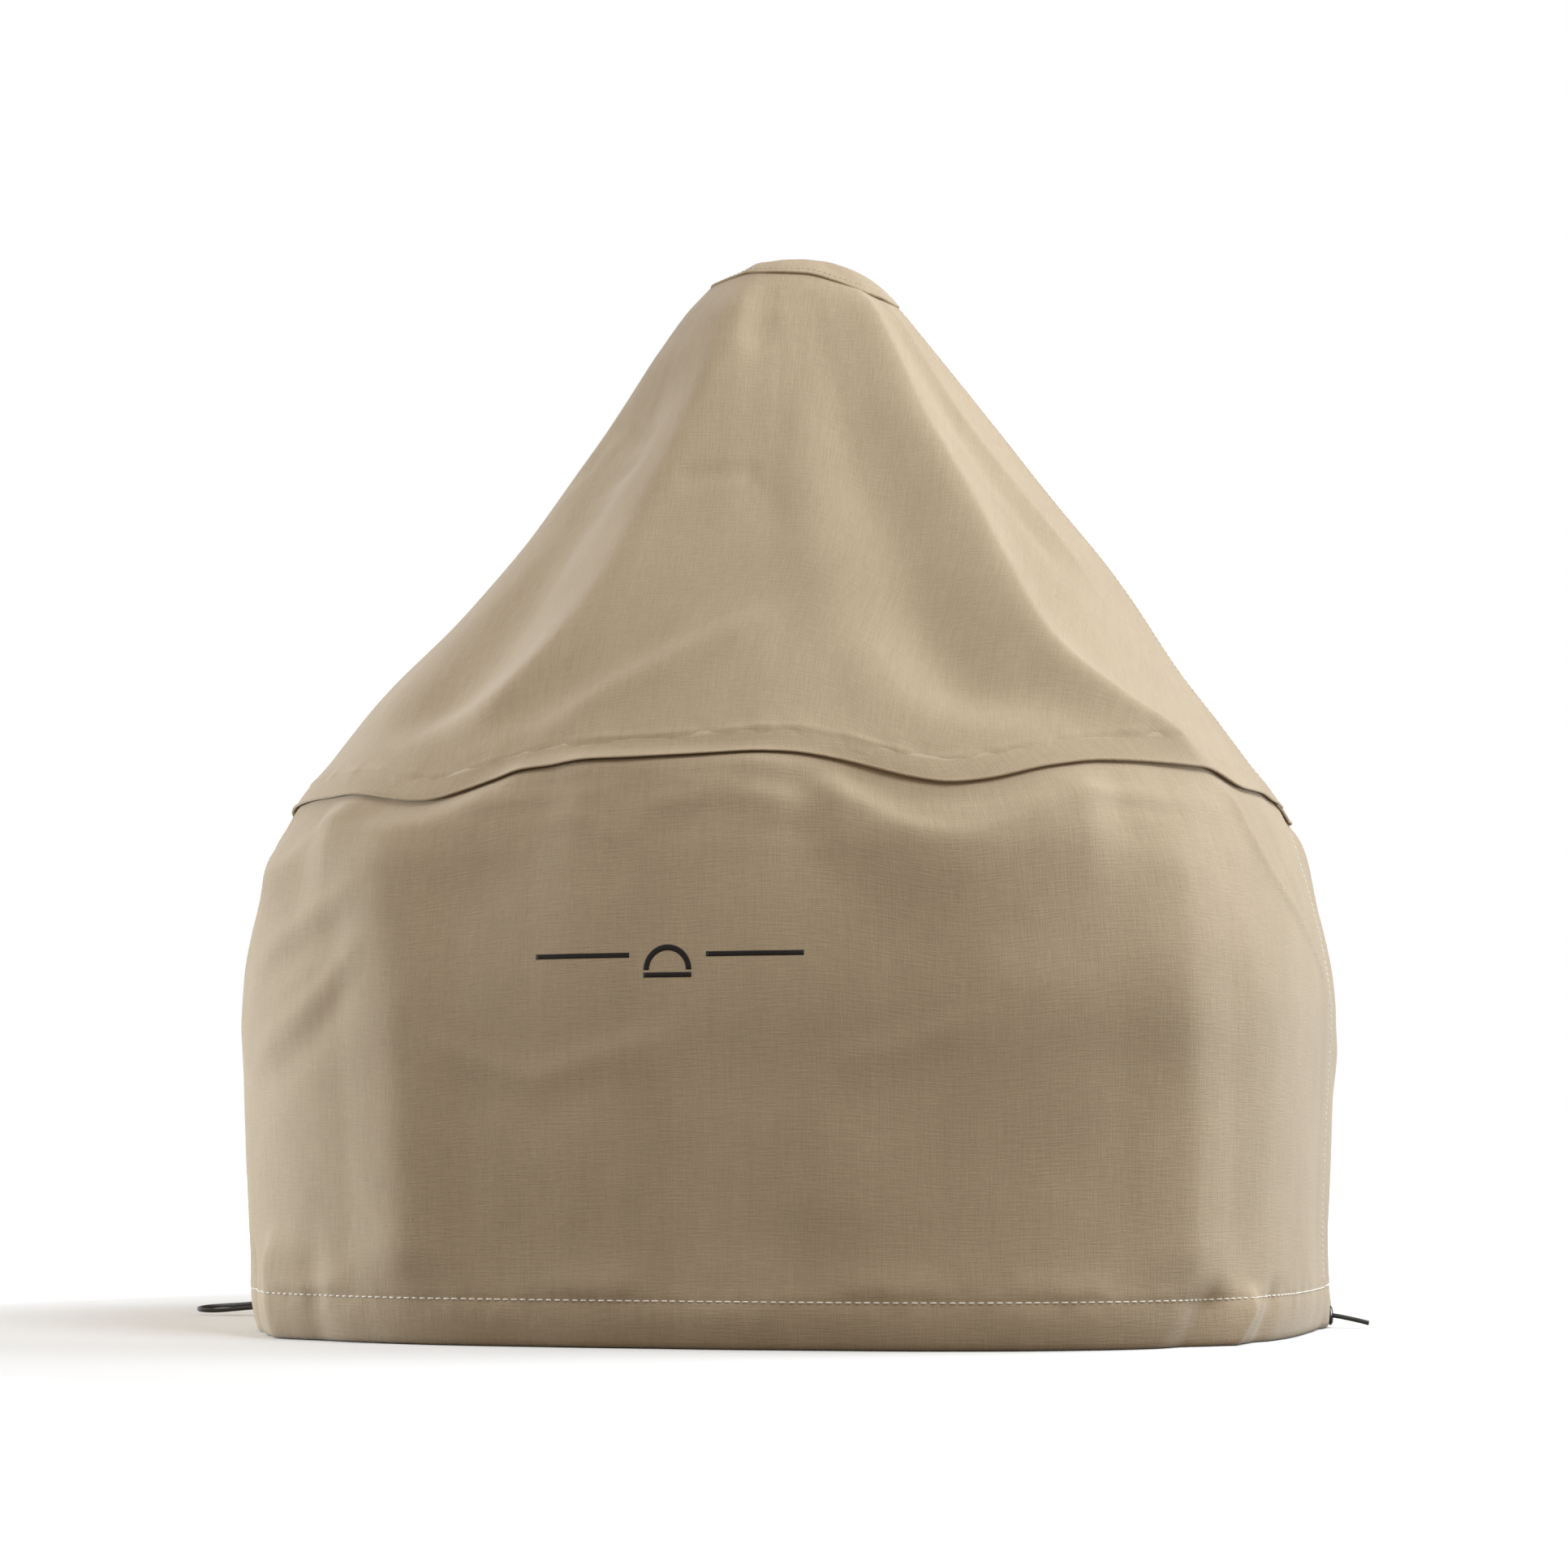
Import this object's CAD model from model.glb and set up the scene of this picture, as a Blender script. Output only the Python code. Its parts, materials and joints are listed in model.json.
import json
import math

import bpy
import numpy as np
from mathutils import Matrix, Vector

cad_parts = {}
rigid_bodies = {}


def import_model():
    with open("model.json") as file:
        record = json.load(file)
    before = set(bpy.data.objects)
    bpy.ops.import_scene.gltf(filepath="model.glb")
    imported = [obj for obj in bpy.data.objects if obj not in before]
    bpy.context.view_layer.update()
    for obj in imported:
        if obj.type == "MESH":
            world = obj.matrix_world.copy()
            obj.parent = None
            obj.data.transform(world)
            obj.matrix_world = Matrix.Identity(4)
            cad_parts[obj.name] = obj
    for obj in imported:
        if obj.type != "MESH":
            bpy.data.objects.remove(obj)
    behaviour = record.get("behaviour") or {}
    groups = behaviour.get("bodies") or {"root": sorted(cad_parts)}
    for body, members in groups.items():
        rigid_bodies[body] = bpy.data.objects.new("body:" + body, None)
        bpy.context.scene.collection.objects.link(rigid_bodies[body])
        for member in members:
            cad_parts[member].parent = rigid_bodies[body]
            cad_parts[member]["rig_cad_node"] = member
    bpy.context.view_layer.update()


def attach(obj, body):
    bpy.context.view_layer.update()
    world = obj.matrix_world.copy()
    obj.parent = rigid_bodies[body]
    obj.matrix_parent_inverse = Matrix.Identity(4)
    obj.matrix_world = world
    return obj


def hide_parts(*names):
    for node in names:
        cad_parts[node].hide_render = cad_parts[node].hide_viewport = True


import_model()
scene = bpy.context.scene
rad = math.radians

# ---------------------------------------------------------------- camera
cam_data = bpy.data.cameras.new("camera")
cam = bpy.data.objects.new("camera", cam_data)
scene.collection.objects.link(cam)
cam_data.sensor_width = 36
cam_data.lens = 81.2
cam_data.clip_start = 0.05
cam_data.clip_end = 100
cam.location = (0.5864, -2.3715, 0.1108)
cam.rotation_euler = (rad(90 + 6.096), 0, rad(14.176))
scene.camera = cam


# ---------------------------------------------------------------- small tools
def link(obj):
    scene.collection.objects.link(obj)
    return obj


def mesh_object(name, verts, faces, uvs=None, mats=(), smooth=True, body="cover"):
    me = bpy.data.meshes.new(name)
    verts = np.asarray(verts, dtype=np.float64).reshape(-1, 3)
    faces = np.asarray(faces, dtype=np.int64)
    n, k = faces.shape
    me.vertices.add(len(verts))
    me.vertices.foreach_set("co", verts.astype(np.float32).ravel())
    me.loops.add(n * k)
    me.loops.foreach_set("vertex_index", faces.astype(np.int32).ravel())
    me.polygons.add(n)
    me.polygons.foreach_set("loop_start", np.arange(0, n * k, k, dtype=np.int32))
    me.polygons.foreach_set("loop_total", np.full(n, k, dtype=np.int32))
    me.update(calc_edges=True)
    if uvs is not None:
        layer = me.uv_layers.new(name="UV")
        uvs = np.asarray(uvs, dtype=np.float32).reshape(-1, 2)
        layer.data.foreach_set("uv", uvs[faces.ravel()].ravel())
    if smooth:
        me.polygons.foreach_set("use_smooth", np.ones(n, dtype=bool))
    me.validate()
    obj = link(bpy.data.objects.new(name, me))
    for m in mats:
        me.materials.append(m)
    if body:
        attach(obj, body)
    return obj


def grid_faces(ni, nj, start=0, flip=False):
    i, j = np.meshgrid(np.arange(ni - 1), np.arange(nj - 1), indexing="ij")
    a = (start + i * nj + j).ravel()
    q = np.stack([a, a + nj, a + nj + 1, a + 1], 1)
    return q[:, ::-1] if flip else q


def shell(name, A, B, uv, mat, body="cover"):
    """Closed thin sheet between an outer grid A and an inner grid B, ni x nj points in metres."""
    ni, nj = A.shape[:2]
    k = ni * nj
    verts = np.concatenate([A.reshape(-1, 3), B.reshape(-1, 3)])
    fs = [grid_faces(ni, nj), grid_faces(ni, nj, k, True)]
    j = np.arange(nj - 1)
    i = np.arange(ni - 1)
    fs.append(np.stack([j, j + 1, k + j + 1, k + j], 1))
    e = (ni - 1) * nj + j
    fs.append(np.stack([e + 1, e, k + e, k + e + 1], 1))
    a = i * nj
    fs.append(np.stack([a + nj, a, k + a, k + a + nj], 1))
    a = i * nj + nj - 1
    fs.append(np.stack([a, a + nj, k + a + nj, k + a], 1))
    return mesh_object(name, verts, np.concatenate(fs), np.concatenate([uv.reshape(-1, 2)] * 2), [mat], body=body)


def closed_ring(name, A, B, uv, mat, body="cover"):
    """As shell, for grids whose first index runs all the way round."""
    A = np.concatenate([A, A[:1]])
    B = np.concatenate([B, B[:1]])
    ni, nj = A.shape[:2]
    k = (ni - 1) * nj
    verts = np.concatenate([A[:-1].reshape(-1, 3), B[:-1].reshape(-1, 3)])
    i, j = np.meshgrid(np.arange(ni - 1), np.arange(nj - 1), indexing="ij")
    nx = (i + 1) % (ni - 1)
    q = np.stack([i * nj + j, nx * nj + j, nx * nj + j + 1, i * nj + j + 1], -1).reshape(-1, 4)
    fs = [q, q[:, ::-1] + k]
    i = np.arange(ni - 1)
    nx = (i + 1) % (ni - 1)
    fs.append(np.stack([nx * nj, i * nj, k + i * nj, k + nx * nj], 1))
    e = nj - 1
    fs.append(np.stack([i * nj + e, nx * nj + e, k + nx * nj + e, k + i * nj + e], 1))
    return mesh_object(name, verts, np.concatenate(fs), np.concatenate([uv.reshape(-1, 2)] * 2), [mat], body=body)


# ---------------------------------------------------------------- materials
def srgb(r, g, b):
    def f(v):
        v /= 255
        return v / 12.92 if v <= 0.04045 else ((v + 0.055) / 1.055) ** 2.4
    return (f(r), f(g), f(b), 1)


class Mat:
    """A material with its Principled shader and short helpers for its nodes."""

    def __init__(self, name, base, rough=0.6, metal=0.0, spec=0.5, sheen=0.0, sheen_rough=0.4, coat=0.0):
        self.m = bpy.data.materials.new(name)
        self.m.use_nodes = True
        self.t = self.m.node_tree
        self.t.nodes.clear()
        self.out = self.t.nodes.new("ShaderNodeOutputMaterial")
        self.p = self.t.nodes.new("ShaderNodeBsdfPrincipled")
        self.t.links.new(self.p.outputs[0], self.out.inputs[0])
        self.p.inputs["Base Color"].default_value = base
        self.p.inputs["Roughness"].default_value = rough
        self.p.inputs["Metallic"].default_value = metal
        self.p.inputs["Specular IOR Level"].default_value = spec
        self.p.inputs["Sheen Weight"].default_value = sheen
        self.p.inputs["Sheen Roughness"].default_value = sheen_rough
        self.p.inputs["Coat Weight"].default_value = coat
        self.base = base

    def new(self, kind, **values):
        n = self.t.nodes.new(kind)
        for k, v in values.items():
            setattr(n, k, v)
        return n

    def put(self, socket, value):
        if isinstance(value, bpy.types.NodeSocket):
            self.t.links.new(value, socket)
        else:
            socket.default_value = value

    def uv(self):
        return self.new("ShaderNodeUVMap", uv_map="UV").outputs[0]

    def obj(self):
        return self.new("ShaderNodeTexCoord").outputs["Object"]

    def scaled(self, vec, s, loc=(0, 0, 0)):
        n = self.new("ShaderNodeMapping")
        self.put(n.inputs["Vector"], vec)
        n.inputs["Scale"].default_value = s
        n.inputs["Location"].default_value = loc
        return n.outputs[0]

    def noise(self, vec, scale=1.0, detail=2.0, rough=0.5, dims="2D"):
        n = self.new("ShaderNodeTexNoise", noise_dimensions=dims)
        self.put(n.inputs["Vector"], vec)
        n.inputs["Scale"].default_value = scale
        n.inputs["Detail"].default_value = detail
        n.inputs["Roughness"].default_value = rough
        return n.outputs[0]

    def math(self, op, a, b=0.0, c=None):
        n = self.new("ShaderNodeMath", operation=op)
        self.put(n.inputs[0], a)
        self.put(n.inputs[1], b)
        if c is not None:
            self.put(n.inputs[2], c)
        return n.outputs[0]

    def range(self, v, a, b, c, d):
        n = self.new("ShaderNodeMapRange")
        self.put(n.inputs["Value"], v)
        for k, x in zip(("From Min", "From Max", "To Min", "To Max"), (a, b, c, d)):
            n.inputs[k].default_value = x
        return n.outputs[0]

    def split(self, vec):
        n = self.new("ShaderNodeSeparateXYZ")
        self.put(n.inputs[0], vec)
        return n.outputs

    def scale_colour(self, colour, v):
        n = self.new("ShaderNodeVectorMath", operation="SCALE")
        self.put(n.inputs[0], colour[:3] if isinstance(colour, tuple) else colour)
        self.put(n.inputs["Scale"], v)
        return n.outputs[0]

    def mix(self, fac, a, b):
        n = self.new("ShaderNodeMix", data_type="RGBA")
        self.put(n.inputs[0], fac)
        self.put(n.inputs[6], a)
        self.put(n.inputs[7], b)
        return n.outputs[2]

    def bump(self, height, distance, strength=1.0):
        n = self.new("ShaderNodeBump")
        self.put(n.inputs["Height"], height)
        n.inputs["Distance"].default_value = distance
        n.inputs["Strength"].default_value = strength
        self.put(self.p.inputs["Normal"], n.outputs[0])


def canvas(name, c1, c2, pitch=0.0009, sheen=0.28, slub=1.0, bump=0.45, rough=0.88):
    """Plain woven canvas with slubs. UV is in metres, u along the weft and v along the warp."""
    m = Mat(name, c1, rough=rough, spec=0.22, sheen=sheen, sheen_rough=0.38)
    m.p.inputs["Sheen Tint"].default_value = (1.0, 0.97, 0.92, 1)
    uv = m.uv()
    weft = m.range(m.noise(m.scaled(uv, (62, 820, 1)), 1, 2.5, 0.6), 0.3, 0.7, -1, 1)
    warp = m.range(m.noise(m.scaled(uv, (900, 70, 1), (3.1, 7.7, 0)), 1, 2.5, 0.6), 0.3, 0.7, -1, 1)
    long_warp = m.range(m.noise(m.scaled(uv, (260, 9, 1), (1.7, 2.3, 0)), 1, 2, 0.5), 0.3, 0.7, -1, 1)
    speck = m.range(m.noise(m.scaled(uv, (1500, 1500, 1)), 1, 1, 0.5), 0.3, 0.7, -1, 1)
    blotch = m.noise(m.scaled(uv, (11, 7, 1)), 1, 3, 0.6)
    total = m.math("MULTIPLY_ADD", weft, 0.028 * slub, m.math("MULTIPLY_ADD", warp, 0.04 * slub, 1.0))
    total = m.math("MULTIPLY_ADD", long_warp, 0.018 * slub, total)
    total = m.math("MULTIPLY_ADD", speck, 0.05, total)
    m.put(m.p.inputs["Base Color"], m.scale_colour(m.mix(m.range(blotch, 0.35, 0.65, 0, 1), c1, c2), total))
    x, y, _ = m.split(uv)
    k = 2 * math.pi / pitch
    sx = m.math("SINE", m.math("MULTIPLY", x, k))
    sy = m.math("SINE", m.math("MULTIPLY", y, k))
    over = m.math("MULTIPLY", sx, sy)
    height = m.math("MULTIPLY_ADD", over, 0.12, m.math("MULTIPLY_ADD", weft, 0.5, m.math("MULTIPLY", warp, 0.5)))
    m.bump(height, 0.00022, bump)
    return m.m


def braid(name, base, light):
    """Braided cord. UV is in metres, u along the cord and v round it."""
    m = Mat(name, base, rough=0.55, spec=0.45, sheen=0.25, sheen_rough=0.3)
    x, y, _ = m.split(m.uv())
    a = m.math("SINE", m.math("MULTIPLY", m.math("ADD", x, y), 2 * math.pi / 0.00118))
    b = m.math("SINE", m.math("MULTIPLY", m.math("SUBTRACT", x, y), 2 * math.pi / 0.00118))
    strand = m.math("MAXIMUM", a, b)
    fibre = m.noise(m.scaled(m.uv(), (900, 5200, 1)), 1, 2, 0.5)
    m.put(m.p.inputs["Base Color"], m.mix(m.range(m.math("MULTIPLY_ADD", fibre, 0.8, strand), 0.2, 1.9, 0, 1), base, light))
    m.bump(m.math("MULTIPLY_ADD", fibre, 0.5, strand), 0.0001, 0.7)
    return m.m


def moulded(name, base, rough=0.34, speck=0.5, spec=0.5):
    """Moulded plastic with a fine spark-eroded texture."""
    m = Mat(name, base, rough=rough, spec=spec)
    co = m.obj()
    fine = m.noise(m.scaled(co, (3200, 3200, 3200)), 1, 2, 0.5, "3D")
    slow = m.noise(m.scaled(co, (260, 260, 260)), 1, 3, 0.55, "3D")
    m.put(m.p.inputs["Base Color"], m.scale_colour(base, m.range(slow, 0.3, 0.7, 0.82, 1.25)))
    m.put(m.p.inputs["Roughness"], m.range(slow, 0.3, 0.7, rough - 0.07, rough + 0.1))
    m.bump(fine, 0.00006, speck)
    return m.m


def steel(name, base, rough=0.28):
    m = Mat(name, base, rough=rough, metal=1.0)
    co = m.obj()
    streak = m.noise(m.scaled(co, (900, 5000, 900)), 1, 2, 0.5, "3D")
    m.put(m.p.inputs["Roughness"], m.range(streak, 0.3, 0.7, rough - 0.08, rough + 0.12))
    m.put(m.p.inputs["Base Color"], m.scale_colour(base, m.range(streak, 0.3, 0.7, 0.88, 1.08)))
    m.bump(streak, 0.00002, 0.5)
    return m.m


CLOTH_A = (0.465, 0.364, 0.247, 1)
CLOTH_B = (0.434, 0.338, 0.227, 1)
body_cloth = canvas("canvas_body", CLOTH_A, CLOTH_B)
hood_cloth = canvas("canvas_hood", CLOTH_A, CLOTH_B)
flap_cloth = canvas("canvas_flap", CLOTH_A, CLOTH_B)
tape_cloth = canvas("tape_weave", srgb(150, 133, 110), srgb(144, 127, 104), pitch=0.0007, slub=0.5)
label_cloth = canvas("label_satin", srgb(232, 230, 224), srgb(226, 224, 218), pitch=0.0003, slub=0.25, bump=0.3, rough=0.6)
print_ink = canvas("print_ink", srgb(38, 34, 32), srgb(42, 38, 35), slub=0.9, sheen=0.05, bump=0.5, rough=0.6)
thread_hem = canvas("thread_hem", srgb(246, 242, 232), srgb(238, 232, 220), pitch=0.0005, sheen=0.2, slub=0.4)
thread_top = canvas("thread_top", srgb(222, 209, 184), srgb(212, 198, 172), pitch=0.0005, sheen=0.2, slub=0.4)
cord_braid = braid("cord_braid", srgb(38, 37, 36), srgb(92, 90, 87))
net_black = moulded("net_black", srgb(30, 30, 30), rough=0.5)
cord_core = canvas("cord_core", srgb(206, 202, 194), srgb(190, 186, 178), pitch=0.0004, slub=0.6)
eyelet_black = moulded("eyelet_black", srgb(24, 23, 23), rough=0.3)
lock_black = moulded("lock_black", srgb(34, 33, 33), rough=0.36)
plunger_black = moulded("plunger_black", srgb(44, 43, 43), rough=0.4)
spring_steel = steel("spring_steel", srgb(190, 190, 192))
crimp_steel = steel("crimp_steel", srgb(176, 174, 170), 0.34)


# ---------------------------------------------------------------- cords
def smooth_line(points, step=0.0005, passes=30):
    """Round line through the route's points, in metres, at an even step."""
    p = np.array(points, float) / 1000
    ext = np.concatenate([[2 * p[0] - p[1]], p, [2 * p[-1] - p[-2]]])
    out = []
    for i in range(1, len(ext) - 2):
        a, b, c, d = ext[i - 1:i + 3]
        n = max(2, int(np.linalg.norm(c - b) / step))
        t = np.linspace(0, 1, n, endpoint=False)[:, None]
        out.append(0.5 * (2 * b + (c - a) * t + (2 * a - 5 * b + 4 * c - d) * t * t + (3 * b - a - 3 * c + d) * t ** 3))
    q = np.concatenate(out + [p[-1:]])
    for _ in range(passes):
        q[1:-1] = 0.25 * q[:-2] + 0.5 * q[1:-1] + 0.25 * q[2:]
    s = np.concatenate([[0], np.cumsum(np.linalg.norm(np.diff(q, axis=0), axis=1))])
    u = np.linspace(0, s[-1], int(round(s[-1] / step)) + 1)
    return np.stack([np.interp(u, s, q[:, k]) for k in range(3)], 1), s[-1]


def tube(name, line, r, sides, mat, relief=0.0, body="cover", caps=True):
    """Round tube along a line, with the relief of a braid in its surface."""
    t = np.gradient(line, axis=0)
    t /= np.linalg.norm(t, axis=1)[:, None]
    u = np.zeros_like(t)
    start = np.cross(t[0], [0.03, 0.02, 1.0])
    u[0] = start / np.linalg.norm(start)
    for i in range(1, len(t)):
        v = u[i - 1] - t[i] * np.dot(u[i - 1], t[i])
        u[i] = v / np.linalg.norm(v)
    w = np.cross(t, u)
    s = np.concatenate([[0], np.cumsum(np.linalg.norm(np.diff(line, axis=0), axis=1))])
    a = np.linspace(0, 2 * np.pi, sides, endpoint=False)
    S, T = np.meshgrid(s, a, indexing="ij")
    lay = 2 * np.pi / 0.0052
    h = np.maximum(np.sin(8 * T + lay * S), np.sin(8 * T - lay * S))
    R = r + relief * (h - 0.6)
    P = line[:, None] + R[..., None] * (u[:, None] * np.cos(T)[..., None] + w[:, None] * np.sin(T)[..., None])
    n, k = P.shape[:2]
    i, j = np.meshgrid(np.arange(n - 1), np.arange(k), indexing="ij")
    jn = (j + 1) % k
    q = np.stack([i * k + j, i * k + jn, (i + 1) * k + jn, (i + 1) * k + j], -1).reshape(-1, 4)[:, ::-1]
    uv = np.stack([S, T * r], -1).reshape(-1, 2)
    verts = P.reshape(-1, 3)
    if caps:
        verts = np.concatenate([verts, line[:1] - t[:1] * 0.0001, line[-1:] + t[-1:] * 0.0001])
        uv = np.concatenate([uv, [[0, 0], [s[-1], 0]]])
        c0, c1 = n * k, n * k + 1
        jj = np.arange(0, k, 2)
        e0 = np.stack([np.full(len(jj), c0), jj, (jj + 1) % k, (jj + 2) % k], 1)
        b = (n - 1) * k
        e1 = np.stack([np.full(len(jj), c1), b + (jj + 2) % k, b + (jj + 1) % k, b + jj], 1)
        q = np.concatenate([q, e0, e1])
    return mesh_object(name, verts, q, uv, [mat], body=body)


EY = 50
legs = [-350, -356, -364, -376, -390, -400]
loop_side = [(-410, 0, 9.6), (-417, 0.8, 8.9), (-424, 1.6, 8.2), (-431, 2.3, 7.6), (-438, 3.2, 7.1), (-445, 4.4, 6.7),
             (-452, 5.6, 6.2), (-459, 6, 5.7), (-462, 5.2, 5.3), (-464.2, 3, 4.9), (-465, 0, 4.5), (-464.2, -3, 4.1),
             (-462, -5.2, 3.8), (-459, -6, 3.5), (-452, -5.6, 3.3), (-445, -4.4, 3.6), (-438, -3.2, 4.2), (-431, -2.3, 4.9),
             (-424, -1.6, 5.5), (-417, -0.8, 6), (-410, 0, 6.4)]
loop_pts = [(x, EY, 9.6) for x in legs] + [(x, y + EY, z) for x, y, z in loop_side] + [(x, EY, 6.4) for x in reversed(legs)]
tail_pts = [(349, 0, 8), (352, 0, 8), (355.5, 0, 8), (358, 0, 7.7), (361, 0, 7.2), (365, -0.1, 6.4), (370, -0.3, 5.4),
            (375, -0.6, 4.3), (379.6, -0.9, 3.2)]
tail_pts = [(x, y + EY, z) for x, y, z in tail_pts]
CORD_D = 0.003

loop_line, loop_len = smooth_line(loop_pts)
loop = tube("drawcord_loop", loop_line, CORD_D / 2, 48, cord_braid, relief=0.00009)
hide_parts("drawcord_left_loop")

tail_line, tail_len = smooth_line(tail_pts)
tail = tube("drawcord_tail", tail_line, CORD_D / 2, 48, cord_braid, relief=0.00009)
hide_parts("drawcord_right_tail")
d = tail_line[-1] - tail_line[-6]
d /= np.linalg.norm(d)
core_line = tail_line[-1] + np.linspace(-0.0006, 0.00022, 5)[:, None] * d
core = tube("drawcord_tail_core", core_line, 0.00112, 24, cord_core)


# ---------------------------------------------------------------- the cover's base surface, in mm
P = np.array([[0, 1], [60, 0.997], [150, 1.008], [220, 1.014], [280, 0.987], [340, 0.935], [400, 0.828], [470, 0.678],
              [560, 0.497], [650, 0.322], [700, 0.218], [722, 0.158]])


def prof(z, half=354.0):
    z = np.clip(np.asarray(z, float), 0, 722)
    i = np.clip(np.searchsorted(P[:, 0], z, side="right") - 1, 0, len(P) - 2)
    h = P[i + 1, 0] - P[i, 0]
    t = (z - P[i, 0]) / h

    def sl(k):
        a = np.maximum(k - 1, 0)
        b = np.minimum(k + 1, len(P) - 1)
        return (P[b, 1] - P[a, 1]) / (P[b, 0] - P[a, 0])
    return half * (P[i, 1] * (2 * t ** 3 - 3 * t ** 2 + 1) + P[i + 1, 1] * (3 * t ** 2 - 2 * t ** 3)
                   + h * sl(i) * (t ** 3 - 2 * t ** 2 + t) + h * sl(i + 1) * (t ** 3 - t ** 2))


def ramp(z, a, b):
    return np.clip((z - a) / (b - a), 0, 1)


def soft(z, a, b):
    t = ramp(z, a, b)
    return t * t * (3 - 2 * t)


SHIFT = np.array([[350, 0], [413, -1.5], [436, -2], [459, 3], [482, 6], [505, 7], [528, 8], [551, 5.5], [597, 3],
                  [643, 0], [668, -2.5], [690, -3.5], [715, -6], [740, -7]])
_z = np.arange(0, 760, 1.0)
_s = np.interp(_z, SHIFT[:, 0], SHIFT[:, 1])
_k = np.exp(-0.5 * (np.arange(-45, 46) / 15.0) ** 2)
_k /= _k.sum()
_s = np.convolve(np.pad(_s, 45, mode="edge"), _k, mode="valid")
RIGHT = np.array([math.cos(rad(14.176)), math.sin(rad(14.176)), 0])


def radius(phi, z):
    n = 2.9 - 0.9 * ramp(z, 300, 680)
    a = prof(z)
    b = a * (0.93 + 0.07 * ramp(z, 340, 700))
    c, s = np.cos(np.radians(phi)), np.sin(np.radians(phi))
    return ((np.abs(c) / a) ** n + (np.abs(s) / b) ** n) ** (-1 / n)


def base(phi, z):
    r = radius(phi, z)
    sh = np.interp(z, _z, _s)
    p = np.stack([r * np.cos(np.radians(phi)), r * np.sin(np.radians(phi)), z + 0 * r], -1)
    return p + sh[..., None] * RIGHT


def normal(phi, z):
    e1 = base(phi + 0.25, z) - base(phi - 0.25, z)
    zz = np.clip(z, 2, 720)
    e2 = base(phi, zz + 1.5) - base(phi, zz - 1.5)
    n = np.cross(e1, e2)
    return n / np.linalg.norm(n, axis=-1)[..., None]


# ---------------------------------------------------------------- noise and folds
def lattice(ix, iy, seed):
    n = (ix * 374761393 + iy * 668265263 + seed * 974634541) & 0xFFFFFFFF
    n = ((n ^ (n >> 13)) * 1274126177) & 0xFFFFFFFF
    return ((n ^ (n >> 16)) & 0xFFFF) / 32767.5 - 1


def noise(phi, z, count, height, seed):
    """Smooth noise from -1 to 1: count cells round the cover, each height mm tall."""
    x = np.mod(phi, 360) / 360 * count
    y = z / height + 100
    ix, iy = np.floor(x).astype(np.int64), np.floor(y).astype(np.int64)
    fx, fy = x - ix, y - iy
    fx, fy = fx ** 3 * (fx * (6 * fx - 15) + 10), fy ** 3 * (fy * (6 * fy - 15) + 10)
    v = [lattice((ix + a) % count, iy + b, seed) for a in (0, 1) for b in (0, 1)]
    return (v[0] * (1 - fy) + v[1] * fy) * (1 - fx) + (v[2] * (1 - fy) + v[3] * fy) * fx


def away(phi, c):
    return np.mod(phi - c + 180, 360) - 180


def table(pts, lo, hi, step, blur):
    """Smooth look-up of a value along one coordinate."""
    pts = np.array(sorted(pts), float)
    x = np.arange(lo, hi + step, step)
    y = np.interp(x, pts[:, 0], pts[:, 1])
    w = int(3 * blur / step) + 1
    k = np.exp(-0.5 * (np.arange(-w, w + 1) * step / blur) ** 2)
    k /= k.sum()
    y = np.convolve(np.pad(y, w, mode="edge"), k, mode="valid")
    return lambda v: np.interp(v, x, y)


def shape_of(t, crisp):
    if crisp:
        return np.exp(-(np.sqrt(t * t + crisp * crisp) - crisp))
    return np.exp(-0.5 * t * t)


def upright(pts, amp, s1, s2=None, fade=(25, 25), crisp=0.0):
    """A fold that runs up the cloth: pts are (angle, height), s1 and s2 its widths in mm on each side."""
    f = table([(z, p) for p, z in pts], 0, 740, 2, 14)
    zs = [z for _, z in pts]
    lo, hi = min(zs), max(zs)
    s2 = s2 or s1

    def d(phi, z, r):
        x = np.radians(away(phi, f(z))) * r
        t = x / np.where(x < 0, s1, s2)
        w = (1 if lo <= 0 else soft(z, lo - fade[0] * 0.5, lo + fade[0] * 0.5)) * (1 - soft(z, hi - fade[1] * 0.5, hi + fade[1] * 0.5))
        return amp * shape_of(t, crisp) * w
    return d


def level(pts, amp, below, above=None, fade=4, crisp=0.0):
    """A fold that runs across the cloth: pts are (angle, height), widths in mm below and above."""
    mid = 0.5 * (min(p for p, _ in pts) + max(p for p, _ in pts))
    f = table([(away(p, mid), z) for p, z in pts], -180, 180, 0.5, 1.6)
    lo, hi = min(away(p, mid) for p, _ in pts), max(away(p, mid) for p, _ in pts)
    above = above or below

    def d(phi, z, r):
        q = away(phi, mid)
        x = z - f(q)
        t = x / np.where(x < 0, below, above)
        w = soft(q, lo - fade * 0.5, lo + fade * 0.5) * (1 - soft(q, hi - fade * 0.5, hi + fade * 0.5))
        return amp * shape_of(t, crisp) * w
    return d


def edge_fold(pts, rise, slope, rnd, fade=(40, 50)):
    """A corner of the cloth: it stands up like a tent over a rounded ridge."""
    f = table([(z, p) for p, z in pts], 0, 740, 2, 18)
    zs = [z for _, z in pts]
    lo, hi = min(zs), max(zs)

    def d(phi, z, r):
        x = np.abs(np.radians(away(phi, f(z))) * r)
        y = rise - slope * (np.sqrt(x * x + rnd * rnd) - rnd)
        y = 0.5 * (y + np.sqrt(y * y + 1.5))
        w = soft(z, lo - fade[0], lo) * (1 - soft(z, hi, hi + fade[1]))
        return y * w
    return d


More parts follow.
